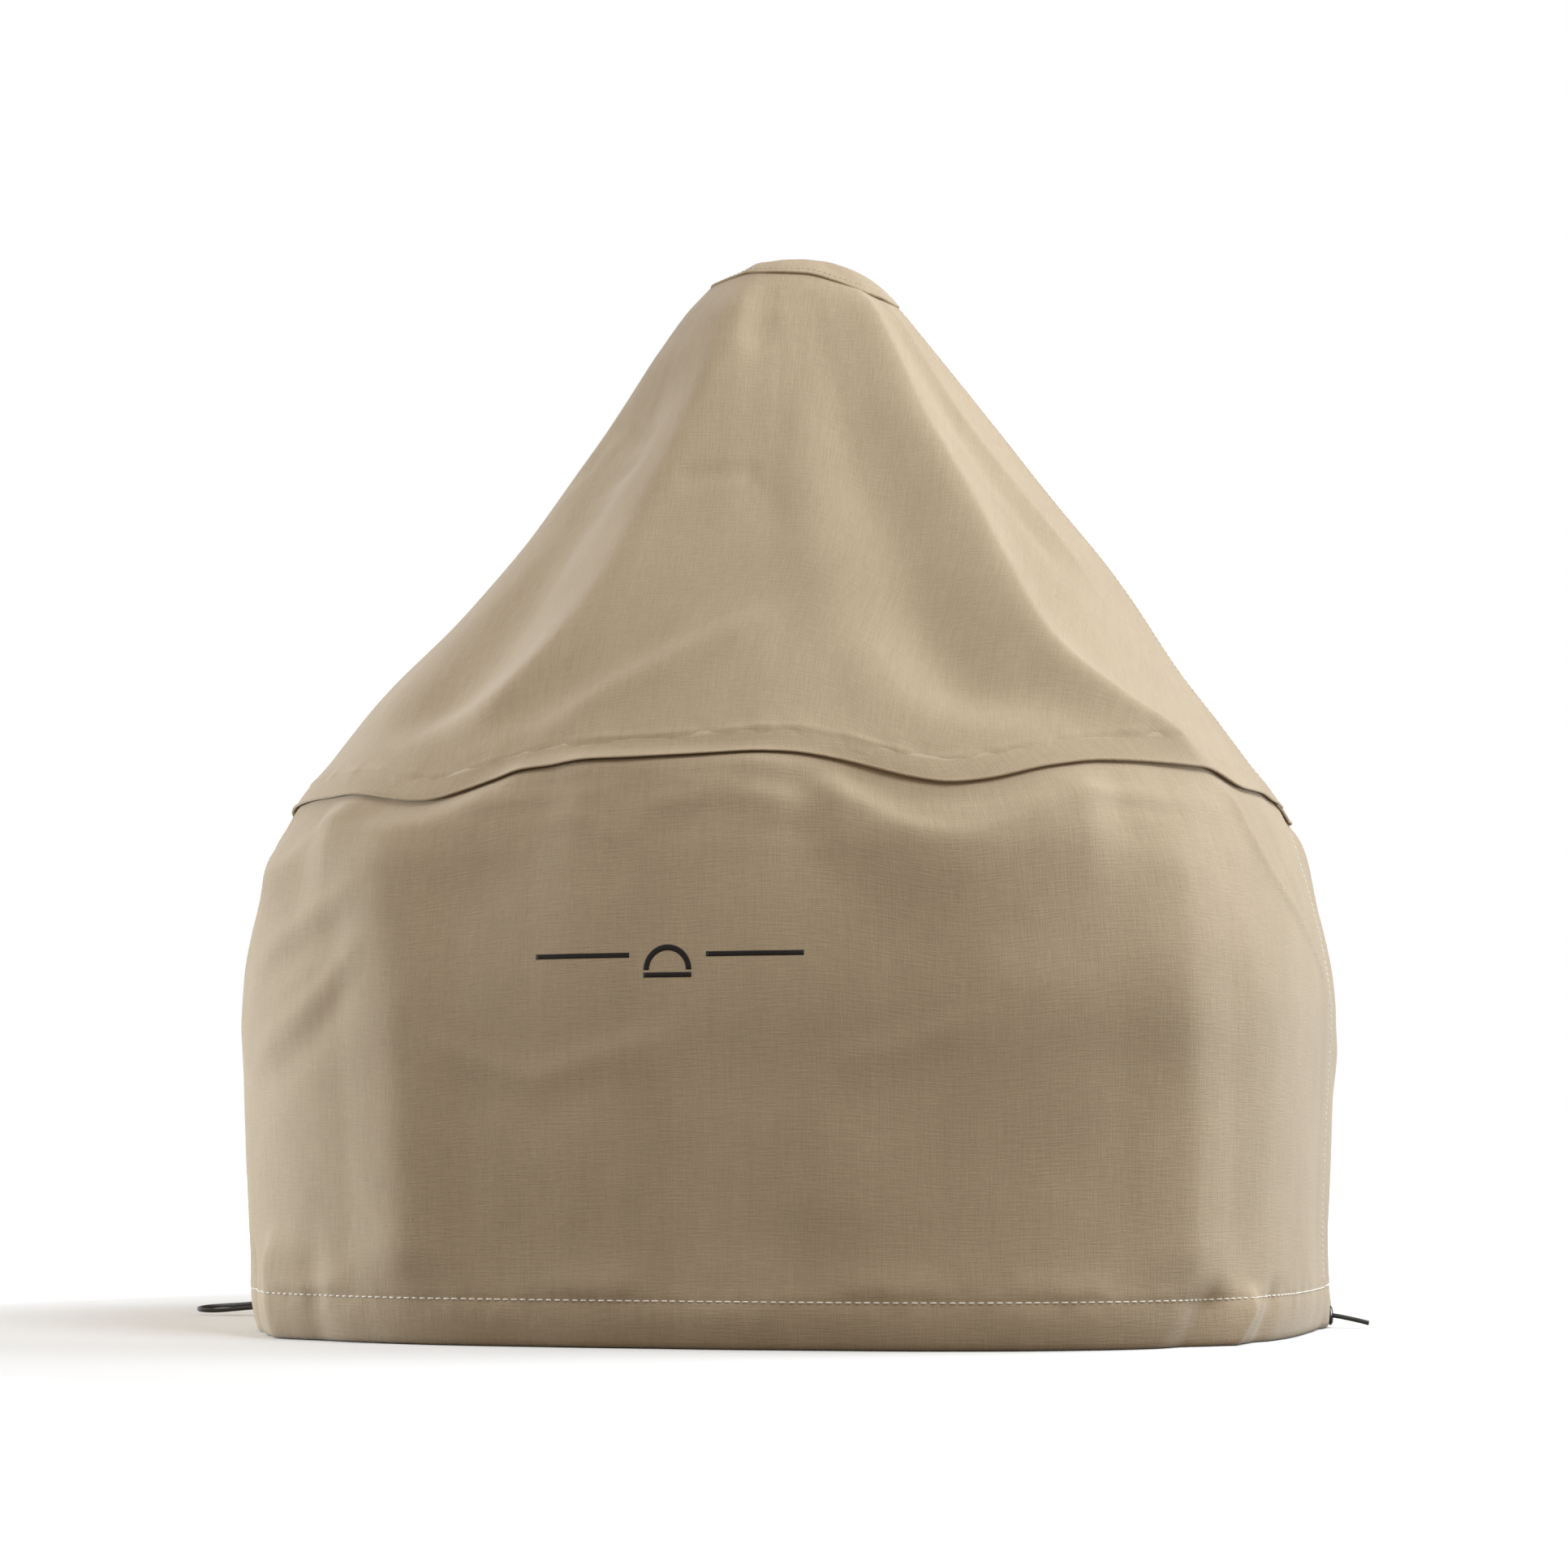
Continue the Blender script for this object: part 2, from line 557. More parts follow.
HOOD_FOLDS = [
    level([(-106, 348), (-92, 350), (-76, 348)], 8.0, 30, 60, 12),
    upright([(-42, 722), (-42, 705), (-45, 659), (-48, 607), (-47, 557), (-47, 509), (-45.5, 462), (-43, 422), (-38.6, 390), (-28.3, 362)], 13.5, 28, 14, (40, 10), 0.5),
    upright([(-67, 722), (-67, 635), (-66, 571), (-62.5, 523), (-61, 463), (-57, 429), (-54, 390)], -12.0, 27, 28, (40, 60)),
    upright([(-103.4, 722), (-103.4, 715), (-104.9, 658), (-106.9, 594), (-109.8, 534), (-109.6, 475), (-111.2, 435), (-117.3, 388)], 9.5, 20, 20, (40, 20), 0.6),
    upright([(-131.6, 640), (-131.6, 604), (-129.6, 579), (-131.7, 538), (-127.2, 482), (-123.5, 428), (-126.6, 390)], -12.0, 30, 26, (40, 60)),
    upright([(-73.6, 700), (-73.6, 674), (-74.3, 608), (-73.2, 533), (-72.1, 470)], 4, 24, 22, (70, 40)),
    upright([(-90, 690), (-88, 600), (-84, 520)], -3.0, 14, 14, (60, 60)),
    upright([(-97, 720), (-98, 690), (-99, 650)], 1.6, 5, 6, (20, 50)),
    upright([(-92, 720), (-92, 690), (-92, 655)], -1.4, 6, 6, (20, 50)),
    level([(-117, 366), (-108, 374), (-97.4, 409), (-89.1, 432), (-82, 446)], 3.2, 12, 9, 10),
    level([(-115, 398), (-104, 415), (-95, 440)], -2.0, 12, 12, 10),
    level([(-62, 430), (-52, 420), (-43, 404)], -5.5, 26, 30, 10),
    upright([(-22.9, 700), (-22.9, 684), (-30.8, 618), (-27.4, 558), (-24.9, 490)], 2, 6, 6, (40, 40), 0.6),
    upright([(-33, 700), (-36, 640), (-35, 560), (-32, 500)], -2.0, 8, 8, (60, 60)),
    upright([(-14, 680), (-16, 600), (-13, 520), (-12, 440)], -2.4, 12, 14, (60, 60)),
    level([(-153, 618), (-140, 608), (-120, 599)], -2.4, 9, 6, 8),
    level([(-150, 590), (-132, 577), (-119, 580)], -2.2, 7, 7, 8),
    level([(-104, 554), (-101, 556), (-92, 560), (-88, 561)], -1.6, 7, 5, 4),
    level([(-148, 560), (-138, 552), (-128, 548)], 1.6, 8, 8, 8),
    # rear
    upright([(44, 722), (44, 705), (46, 640), (49, 560), (47, 480), (44, 420), (38, 372)], 6.5, 16, 18, (40, 10), 0.5),
    upright([(66, 722), (66, 640), (62, 560), (60, 470), (56, 400)], -5.5, 24, 24, (40, 60)),
    upright([(84, 722), (84, 650), (86, 560), (82, 480)], 4, 22, 22, (60, 40)),
    upright([(110, 722), (108, 640), (104, 560), (106, 470), (112, 392)], 5, 18, 16, (40, 30), 0.7),
    upright([(130, 722), (130, 650), (132, 560), (128, 480), (124, 410)], -5, 24, 24, (40, 60)),
    upright([(158, 722), (158, 650), (154, 560), (152, 470), (150, 390)], 4.5, 16, 18, (40, 40), 0.6),
    upright([(14, 722), (14, 620), (18, 540), (16, 450)], -3, 16, 16, (60, 60)),
    level([(60, 470), (74, 440), (88, 420), (100, 398)], 2.5, 12, 9, 10),
    level([(146, 600), (160, 590), (172, 594)], -2, 8, 7, 8),
]
BODY_FOLDS = [
    level([(-113, 326), (-105, 331), (-97, 330)], 1.5, 3, 4, 5),
    level([(-100, 336), (-91, 338), (-82, 335)], 1.6, 4, 3, 5),
    level([(-92, 325), (-84, 328), (-77, 326)], 1.3, 4, 4, 5),
    level([(-66, 322), (-59, 318), (-51, 328)], 1.5, 3, 4, 5),
    level([(-48, 330), (-42, 333), (-35, 330)], 1.4, 4, 4, 5),
    edge_fold([(-123, 288), (-119.4, 226), (-118.8, 151), (-118.7, 60)], 6.5, 0.18, 9),
    edge_fold([(-38.8, 283), (-39.9, 223), (-39.1, 150), (-38.6, 60)], 6.5, 0.18, 9),
    edge_fold([(39, 283), (39.8, 223), (39.2, 150), (38.8, 60)], 6.0, 0.18, 10),
    edge_fold([(123, 288), (120, 226), (119, 151), (118.7, 60)], 6.0, 0.18, 10),
    level([(-133, 322), (-127.9, 315), (-120.9, 309), (-115.7, 318), (-110.9, 334), (-107, 342)], 9, 30, 11, 6),
    level([(-106, 344), (-92, 348), (-76, 344)], 12.0, 64, 30, 12),
    level([(-74, 330), (-70, 320), (-66.1, 306), (-61.4, 300), (-56.7, 305), (-51.6, 318), (-46, 330)], 11.5, 30, 10, 6),
    upright([(-27, 345), (-25, 336), (-21.9, 295), (-12.7, 268), (-1.6, 229)], 2.4, 7, 6, (25, 8), 0.5),
    upright([(-17, 330), (-12, 290), (-4, 250)], -1.8, 9, 9, (30, 30)),
    upright([(-73.9, 280), (-74.2, 222), (-74.7, 150), (-75.1, 70)], 2.0, 18, 26, (50, 50)),
    upright([(-66, 285), (-65, 233), (-66, 175), (-67, 110)], -1.6, 22, 26, (60, 60)),
    upright([(-52, 250), (-50, 180), (-52, 100)], -1.2, 26, 26, (60, 60)),
    level([(-114.6, 181), (-105.1, 158), (-95.5, 176), (-90, 184)], 1.5, 14, 7, 8),
    level([(-114, 166), (-105.1, 145), (-96, 160)], -1.2, 14, 9, 8),
    level([(-72, 170), (-68.9, 176), (-63.6, 183), (-60, 197)], 1.3, 10, 6, 6),
    level([(-140.3, 179), (-131.7, 203), (-125.3, 237)], 2.0, 12, 8, 6),
    level([(-141, 160), (-132, 182), (-125, 214)], -1.6, 12, 10, 6),
    level([(-139.5, 247), (-132.3, 265), (-125.7, 278)], 2.0, 10, 7, 6),
    level([(-139.5, 228), (-132.3, 246), (-125.7, 260)], -1.8, 10, 9, 6),
    level([(-146, 286), (-141, 295), (-134, 321), (-128, 331)], 3, 16, 8, 6),
    level([(-158, 318), (-148, 306), (-140, 300)], 3.5, 14, 10, 8),
    level([(-107, 340), (-105.7, 343), (-98, 344)], 0.9, 5, 4, 3),
    level([(-104, 331), (-102.9, 332), (-95.5, 336), (-92, 337)], -1.0, 5, 4, 4),
    level([(-88, 331), (-80, 326), (-74, 318)], 1.2, 8, 6, 5),
    level([(-45, 333), (-38, 326), (-30, 330)], 1.6, 12, 8, 6),
    # rear
    level([(52, 332), (60, 318), (68, 303), (76, 304), (84, 318), (92, 332)], 6.5, 32, 11, 6),
    level([(116, 334), (124, 318), (132, 306), (141, 309), (150, 322), (157, 334)], 6.5, 32, 11, 6),
    level([(14, 330), (24, 318), (34, 328)], 4, 24, 11, 6),
    upright([(92, 280), (91, 200), (92, 90)], 2, 24, 24, (50, 50)),
    upright([(70, 260), (72, 180), (70, 90)], -1.6, 24, 24, (60, 60)),
    level([(86, 190), (98, 160), (110, 178)], 1.4, 14, 8, 8),
    level([(152, 220), (160, 240), (170, 232)], 1.8, 12, 8, 8),
    level([(10, 190), (20, 172), (30, 182)], 1.6, 12, 8, 8),
]
HEM_FOLDS = [
    upright([(-138.5, 60), (-138, 24), (-137.2, 0)], 8.0, 6, 18, (2, 30), 0.6),
    upright([(-147.5, 55), (-147, 24), (-147, 0)], -8.0, 11, 9, (2, 30)),
    upright([(-131, 60), (-130.5, 24), (-130, 0)], -1.8, 9, 9, (2, 40)),
    upright([(-28.5, 30), (-30.5, 14), (-32.8, 0)], 7.5, 7, 7, (2, 18), 0.6),
    upright([(-23.2, 34), (-25.0, 16), (-27.0, 0)], -3.4, 7, 9, (2, 18)),
    upright([(-34.5, 34), (-36.4, 16), (-38.4, 0)], -6.5, 12, 9, (2, 22)),
    upright([(-84, 30), (-85, 12), (-86, 0)], 1.4, 22, 22, (2, 20)),
    upright([(-62, 30), (-60, 12), (-59, 0)], -1.4, 20, 20, (2, 20)),
    upright([(-106, 30), (-106, 12), (-107, 0)], -1.4, 18, 18, (2, 20)),
    upright([(26, 40), (28, 18), (30, 0)], 3.2, 7, 7, (2, 26), 0.6),
    upright([(33, 34), (34, 16), (35, 0)], -2.6, 8, 8, (2, 26)),
    upright([(76, 30), (75, 12), (74, 0)], 2.6, 8, 10, (2, 24), 0.6),
    upright([(83, 30), (82, 12), (81, 0)], -2.0, 9, 9, (2, 24)),
    upright([(121, 40), (122, 18), (123, 0)], 3.0, 8, 7, (2, 30), 0.6),
    upright([(129, 40), (129, 18), (129, 0)], -2.4, 9, 9, (2, 30)),
    upright([(160, 30), (161, 14), (162, 0)], 2.2, 8, 8, (2, 26), 0.6),
    level([(-136, 36), (-131, 34), (-126, 36)], 1.5, 4, 7, 4),
    level([(-103, 37), (-98.3, 36), (-93, 38)], 1.3, 4, 8, 4),
    level([(-72, 37), (-68, 36), (-63, 37)], 1.4, 4, 7, 4),
    level([(-56, 36), (-52.4, 35), (-48, 36)], 1.2, 4, 6, 4),
    level([(-39, 34), (-35, 33), (-31, 35)], 1.2, 4, 6, 4),
]
EYELETS = [(8.05, 8), (171.95, 8)]


def folds(phi, z):
    """How far the cloth stands off its base surface, in mm."""
    r = radius(phi, z)
    d = np.zeros_like(r)
    hood = soft(z, 352, 420)
    body = 1 - soft(z, 290, 350)
    d += hood * (1.3 * noise(phi, z, 18, 190, 3) + 0.7 * noise(phi, z, 36, 120, 5) + 0.35 * noise(phi, z, 70, 46, 7)) * ramp(r, 40, 130)
    d += body * (1.3 * noise(phi, z, 14, 120, 11) + 0.6 * noise(phi, z, 34, 52, 13))
    d += (1 - soft(z, 330, 420)) * 0.22 * noise(phi, z, 90, 22, 17)
    d += soft(z, 270, 330) * (1 - soft(z, 335, 350)) * 0.7 * noise(phi, z, 60, 9, 19)
    top = soft(z, 330, 372)
    low = 1 - soft(z, 345, 362)
    for f in HOOD_FOLDS:
        d += f(phi, z, r) * top
    for f in BODY_FOLDS:
        d += f(phi, z, r) * low
    for f in HEM_FOLDS:
        d += f(phi, z, r)
    d -= 5.5 * (1 - soft(z, -4, 32))
    # puckers on both sides of the hem's stitches
    run = np.exp(-((z - 28) / 9.0) ** 2)
    d += run * (0.55 * noise(phi, z, 190, 16, 23) + 0.25 * noise(phi, z, 330, 12, 29))
    d = d * (1 - 0.8 * soft(z, 680, 718))
    keep = np.ones_like(r)
    for p, h in EYELETS:
        q = np.hypot(np.radians(away(phi, p)) * r, z - h)
        keep *= 1 - np.exp(-((q / 26) ** 4))
    return d * keep


EDGE = table([(-200, 348), (-180, 343), (-160, 340), (-148, 343), (-140.7, 343), (-130, 342), (-122, 334.5), (-118.5, 333), (-113.5, 341), (-108, 347),
              (-99, 349), (-88, 351), (-82, 353), (-76, 354.5), (-71, 351), (-66, 342), (-61, 335.5), (-56, 340), (-51, 348),
              (-45, 354), (-39, 354.5), (-31.5, 354), (-26.5, 354), (-22, 346), (-10, 349), (0, 346), (15, 342), (30, 348),
              (48, 352), (60, 346), (72, 338), (84, 347), (100, 352), (118, 350), (130, 341), (140, 337), (152, 345),
              (165, 348), (180, 343), (200, 340)], -200, 200, 0.5, 1.5)


def hood_edge(phi):
    return EDGE(np.mod(phi + 180, 360) - 180)


def skirt(phi, z):
    """How far the hood's cloth stands off the body's."""
    up = z - hood_edge(phi)
    off = 1.7 * (1 - soft(up, 8, 38))
    ridge = 0.85 * np.exp(-((up - 17.5) / 2.4) ** 2) * (0.75 + 0.5 * noise(phi, z, 120, 14, 31))
    pucker = 0.55 * noise(phi, z * 0.6 + phi * 2.0, 210, 15, 37) * soft(up, 3, 8) * (1 - soft(up, 17, 30))
    flare = 0.5 * (0.5 + 0.5 * noise(phi, z, 44, 400, 41)) * (1 - soft(up, 0, 20))
    pinch = -0.28 * np.exp(-((up - 4.5) / 1.3) ** 2)
    return off + ridge + pucker + flare + pinch - 0.9 * (1 - soft(up, 0, 5))


def at(phi, z, off):
    """Point on the cover in metres: angle in degrees, height and distance off the cloth in mm."""
    zz = np.maximum(z, 0)
    d = folds(phi, zz)
    n = normal(phi, zz)
    p = base(phi, zz) + n * (d + off)[..., None]
    p[..., 2] = np.maximum(p[..., 2] - zz, -40) + z
    return p / 1000


def at_normal(phi, z):
    h = 0.2
    a = at(phi + h, z, 0 * z) - at(phi - h, z, 0 * z)
    b = at(phi, z + 1, 0 * z) - at(phi, np.maximum(z - 1, 0), 0 * z)
    n = np.cross(a, b)
    return n / np.linalg.norm(n, axis=-1)[..., None]


def arc_uv(G, axis_u=0):
    """Metres along each grid direction, from the middle column."""
    du = np.linalg.norm(np.diff(G, axis=0), axis=-1)
    dv = np.linalg.norm(np.diff(G, axis=1), axis=-1)
    u = np.concatenate([np.zeros((1, G.shape[1])), np.cumsum(du, 0)], 0)
    u = u - u[len(u) // 2]
    u = np.repeat(u.mean(1)[:, None], G.shape[1], 1)
    v = np.concatenate([[0], np.cumsum(dv.mean(0))])
    return np.stack([u, np.repeat(v[None], G.shape[0], 0)], -1)


# ---------------------------------------------------------------- body panels, with their turned-up hem
T = 0.9
LAP = 1.45  # degrees the front panel laps over the rear one at each side seam


def body_panel(name, p0, p1, cols, lap, nodes):
    phi = np.linspace(p0, p1, cols)
    hem = [(-2.3, 31), (-2.3, 28), (-2.9, 25.5), (-4.8, 22.5), (-6.9, 19), (-7.7, 15), (-7.9, 10), (-7.7, 5.5), (-7.0, 2.8),
           (-5.6, 1.0), (-3.6, 0.2), (-1.7, 0.7), (-0.4, 2.2), (0.25, 4.6), (0.7, 8.5), (0.9, 13), (0.75, 18), (0.35, 22.5),
           (-0.1, 25.8), (-0.4, 27.4), (-0.42, 28.4), (-0.2, 29.8), (0, 32), (0, 34.5), (0, 37.5), (0, 41), (0, 45)]
    hem = np.array(hem)
    edge = hood_edge(phi) + 20
    rows = 80 if cols > 400 else 58
    t = np.linspace(0, 1, rows)[1:]
    z = np.concatenate([np.repeat(hem[None, :, 1], cols, 0), 45 + (edge[:, None] - 45) * t[None]], 1)
    o = np.concatenate([np.repeat(hem[None, :, 0], cols, 0), np.zeros((cols, len(t)))], 1)
    up = z - hood_edge(phi)[:, None]
    o = o - 0.9 * soft(up, 4, 20) * (o >= -0.5)
    dz, do = np.gradient(z, axis=1), np.gradient(o, axis=1)
    ln = np.hypot(dz, do)
    zb, ob = z + do / ln * T, o - dz / ln * T
    PH = np.repeat(phi[:, None], z.shape[1], 1)
    if lap:  # the front panel rides over the rear one
        q = np.minimum(away(PH, p0) * 1.0, -away(PH, p1))
        # distance in degrees from the free side edges
        q = np.minimum(np.abs(PH - p0), np.abs(PH - p1))
        lift = 1.15 * (1 - soft(q, 2 * LAP, 2 * LAP + 4.5))
        lift += 0.35 * (1 - soft(q, 0.1, 0.9)) * (0.4 + 0.6 * noise(PH * 0 + 3, z, 40, 26, 43) ** 2)
        o = o + lift
        ob = ob + lift
    # the stitched seam pulls the cloth in
    A, B = at(PH, z, o), at(PH, zb, ob)
    uv = arc_uv(A)
    ob_ = shell(name, A, B, uv, body_cloth)
    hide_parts(*nodes)
    width = float(np.linalg.norm(np.diff(A[:, 40], axis=0), axis=-1).sum())
    tall = float(np.linalg.norm(np.diff(A, axis=1), axis=-1).sum(1).mean())
    return ob_, width, tall


front, fw, ft = body_panel("body_front", -180 - LAP, LAP, 500, True, ["body_front_panel", "hem_channel_front"])
rear, rw, rt = body_panel("body_rear", -LAP + 0.0, 180 + LAP, 300, False, ["body_rear_panel", "hem_channel_rear"])


# ---------------------------------------------------------------- hood panels, with their turned-up skirt edge
def hood_panel(name, p0, p1, cols, lap, nodes):
    phi = np.linspace(p0, p1, cols)
    e = hood_edge(phi)[:, None]
    fold = np.array([17.2, 14, 10, 6, 3, 1.3, 0.4, 0.0, 0.4, 1.3])  # height above the skirt's edge
    foff = np.array([-2.0, -2.0, -2.0, -2.0, -2.0, -2.0, -1.7, -1.0, -0.3, 0.0])
    fup_b = np.array([17.2, 14, 10, 6, 3, 1.4, 1.15, 1.05, 1.15, 1.4])
    fob = np.array([-1.1, -1.1, -1.1, -1.1, -1.1, -1.1, -1.05, -1.0, -0.95, -0.9])
    near = np.array([2.6, 3.8, 4.6, 5.6, 7, 8.6, 10.2, 12, 13.6, 15, 16.2, 17.5, 18.8, 20.2, 22, 25, 29])
    rows = 84 if cols > 400 else 56
    t = np.linspace(0, 1, rows)[1:]
    rest = (e + 29) + (722 - e - 29) * t[None]
    z = np.concatenate([e + fold[None], e + near[None], rest], 1)
    zb = np.concatenate([e + fup_b[None], e + near[None], rest], 1)
    o = np.concatenate([foff, np.zeros(len(near) + len(t))])[None]
    ob = np.concatenate([fob, np.full(len(near) + len(t), -T)])[None]
    PH = np.repeat(phi[:, None], z.shape[1], 1)
    s = skirt(PH, z)
    ridge_free = np.zeros_like(s)
    ridge_free[:, :10] = 1
    s = np.where(ridge_free > 0, skirt(PH, np.maximum(z, e + 0.0)) * 0 + 3.1 * (1 - soft(z - e, 8, 38)) + 0.9 * (0.5 + 0.5 * noise(PH, z, 44, 400, 41)) * (1 - soft(z - e, 0, 20)), s)
    A_o, B_o = s + o, s + ob
    if lap:
        q = np.minimum(np.abs(PH - p0), np.abs(PH - p1)) * radius(PH, z) * math.pi / 180
        lift = 1.1 * (1 - soft(q, 17, 42))
        A_o, B_o = A_o + lift, B_o + lift
    A, B = at(PH, z, A_o), at(PH, zb, B_o)
    # flat pattern of a half cone: u across, v up
    mid = A[:, 10:].mean(0)
    slant = np.concatenate([[0], np.cumsum(np.linalg.norm(np.diff(A[cols // 2], axis=0), axis=-1))])
    rr = radius(-90.0, 722.0) / 1000
    k = 0.62
    rho = (slant[-1] - slant) + rr / k
    psi = np.radians(phi - 0.5 * (p0 + p1)) * k
    uv = np.stack([rho[None] * np.sin(psi)[:, None], -rho[None] * np.cos(psi)[:, None]], -1)
    ob_ = shell(name, A, B, uv, hood_cloth)
    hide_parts(*nodes)
    a1 = np.linalg.norm(np.cross(A[1:, :-1] - A[:-1, :-1], A[:-1, 1:] - A[:-1, :-1]), axis=-1).sum()
    half = abs(psi[0])
    flat = (2 * rho[0] * math.sin(min(half, math.pi / 2)), rho[0] - rho[-1] * math.cos(half))
    return ob_, flat, float(a1)


HLAP = 1.8
hfront, hff, hfa = hood_panel("hood_front", -180 - HLAP, HLAP, 500, True, ["hood_front_panel", "skirt_facing_front"])
hrear, hrf, hra = hood_panel("hood_rear", -HLAP, 180 + HLAP, 300, False, ["hood_rear_panel", "skirt_facing_rear"])


# ---------------------------------------------------------------- strips: tapes, binding, label, print
def strip(name, PH, Z, o1, o2, mat, nodes, body="cover"):
    A, B = at(PH, Z, o1), at(PH, Z, o2)
    ob_ = shell(name, A, B, arc_uv(A), mat, body)
    if nodes:
        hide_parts(*nodes)
    return ob_


def ring_grid(p0, p1, n, zs):
    phi = np.linspace(p0, p1, n)
    PH = np.repeat(phi[:, None], len(zs), 1)
    return PH


for side, (p0, p1) in (("front", (-179.6, -0.4)), ("rear", (0.4, 179.6))):
    phi = np.linspace(p0, p1, 220)
    ups = np.array([13.0, 15.5, 18.5, 21.0])
    Z = hood_edge(phi)[:, None] + ups[None]
    PH = np.repeat(phi[:, None], 4, 1)
    tuck = -0.9 * soft(np.repeat(ups[None], len(phi), 0), 4, 20)
    ob_ = strip("shoulder_binding_" + side, PH, Z, tuck + 0.75, tuck + 0.12, tape_cloth, ["shoulder_seam_binding"])


def seam_tape(name, centre, half, z0, z1, off, node):
    zs = np.linspace(z0, z1, 60)
    xs = np.linspace(-half, half, 9)
    Z = np.repeat(zs[None], 9, 0)
    PH = centre + np.degrees(xs[:, None] / radius(centre, zs)[None])
    wob = 0.12 * noise(PH * 3, Z, 90, 18, 47)
    return strip(name, PH, Z, off - 0.1 + wob, off - 0.75 + wob, tape_cloth, [node])


bt = [seam_tape("body_tape_right", 0.0, 10, 33, 338, -1.15, "body_seam_tape_right"),
      seam_tape("body_tape_left", 180.0, 10, 33, 338, -1.15, "body_seam_tape_left")]
ht = [seam_tape("hood_tape_right", 0.0, 8, 380, 716, -1.15, "hood_seam_tape_right"),
      seam_tape("hood_tape_left", 180.0, 8, 380, 716, -1.15, "hood_seam_tape_left")]


def x_to_phi(x, z):
    """Angle on the front at a distance x from the middle, at one height."""
    p = np.linspace(-135, -45, 361)
    xs = at(p, np.full_like(p, z), np.zeros_like(p))[:, 0] * 1000
    return np.interp(x, xs, p)


def printed(name, grid):
    """A printed patch: grid of (x, z) in mm on the front panel."""
    g = np.array(grid, float)
    PH = np.empty(g.shape[:2])
    for j in range(g.shape[1]):
        for i in range(g.shape[0]):
            PH[i, j] = x_to_phi(g[i, j, 0], g[i, j, 1])
    A = at(PH, g[..., 1], np.full(PH.shape, 0.13))
    B = at(PH, g[..., 1], np.full(PH.shape, -0.2))
    ob_ = shell(name, A, B, g / 1000, print_ink)
    return ob_


MZ = 234
marks = []
for nm, x0, x1, z0 in (("mark_bar_right", 24, 84, MZ), ("mark_bar_left", -84, -24, MZ), ("mark_base", -15, 15, MZ - 12)):
    n = max(8, int((x1 - x0) / 2))
    marks.append(printed(nm, [[(x, z0 + h) for h in (-1.5, -0.5, 0.5, 1.5)] for x in np.linspace(x0, x1, n)]))
marks.append(printed("mark_arch", [[(r * math.cos(rad(t)), MZ - 9 + r * math.sin(rad(t))) for r in (11.5, 12.7, 13.8, 15)]
                                   for t in np.linspace(180, 0, 40)]))
for m_ in marks:
    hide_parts("printed_mark")

lab_x = np.linspace(20, -20, 17)
lab_z = np.linspace(30, 58, 15)
LX, LZ = np.meshgrid(lab_x, lab_z, indexing="ij")
LP = 90 - np.degrees(LX / 329.0)
LP = 90 + np.degrees(-LX / 329.0)
sag = -1.6 - 1.4 * np.sin(np.pi * (58 - LZ) / 28 * 0.5) - 0.5 * np.sin(LX / 7)
lab = strip("care_label_blank", LP, LZ, sag, sag - 0.35, label_cloth, ["care_label"])


# ---------------------------------------------------------------- stitching
def stitches(name, PH, Z, off, pitch, length, r, mat, seed=1, body="cover", points=None, normals=None):
    """Thread dashes along a line on the cloth. Each one dips into the cloth at both ends."""
    if points is None:
        pts = at(PH, Z, off)
        nor = at_normal(PH, Z)
    else:
        pts, nor = points, normals
    s = np.concatenate([[0], np.cumsum(np.linalg.norm(np.diff(pts, axis=0), axis=1))])
    count = int(s[-1] / pitch)
    rng = np.random.default_rng(seed)
    c = (np.arange(count) + 0.5) * pitch + rng.normal(0, pitch * 0.025, count)
    ln = length * (1 + rng.normal(0, 0.05, count))
    st = np.array([-0.5, -0.4, -0.2, 0.0, 0.2, 0.4, 0.5])
    wr = np.array([0.35, 0.8, 1.0, 1.04, 1.0, 0.8, 0.35]) * r
    sink = np.array([-1.1, -0.25, 0.25, 0.4, 0.25, -0.25, -1.1]) * r
    q = c[:, None] + ln[:, None] * st[None]
    pos = np.stack([np.interp(q, s, pts[:, k]) for k in range(3)], -1)
    n = np.stack([np.interp(q, s, nor[:, k]) for k in range(3)], -1)
    n /= np.linalg.norm(n, axis=-1)[..., None]
    t = pos[:, -1] - pos[:, 0]
    t /= np.linalg.norm(t, axis=-1)[:, None]
    b = np.cross(n, t[:, None])
    b /= np.linalg.norm(b, axis=-1)[..., None]
    # a slight slant, as lockstitch has
    slant = rng.normal(0.0, 0.06, count)[:, None] * r + 0.10 * r
    pos = pos + n * sink[None, :, None] + b * (st[None, :, None] * slant[:, :, None])
    a = np.linspace(0, 2 * np.pi, 6, endpoint=False)
    V = pos[:, :, None] + wr[None, :, None, None] * (np.cos(a)[None, None, :, None] * b[:, :, None] + 0.8 * np.sin(a)[None, None, :, None] * n[:, :, None])
    m, kk, na = V.shape[:3]
    i, j = np.meshgrid(np.arange(kk - 1), np.arange(na), indexing="ij")
    jn = (j + 1) % na
    f = np.stack([i * na + j, i * na + jn, (i + 1) * na + jn, (i + 1) * na + j], -1).reshape(-1, 4)
    caps = np.array([[0, 1, 2, 3], [0, 3, 4, 5]])
    e = (kk - 1) * na
    f = np.concatenate([f[:, ::-1], caps, (caps + e)[:, ::-1]])
    F = (f[None] + (np.arange(m) * kk * na)[:, None, None]).reshape(-1, 4)
    U = np.stack(np.broadcast_arrays(q[:, :, None], a[None, None] * r), -1)
    ob_ = mesh_object(name, V.reshape(-1, 3), F, U.reshape(-1, 2), [mat], body=body)
    return ob_


def line_phi(p0, p1, step=0.12):
    return np.arange(p0, p1, step)


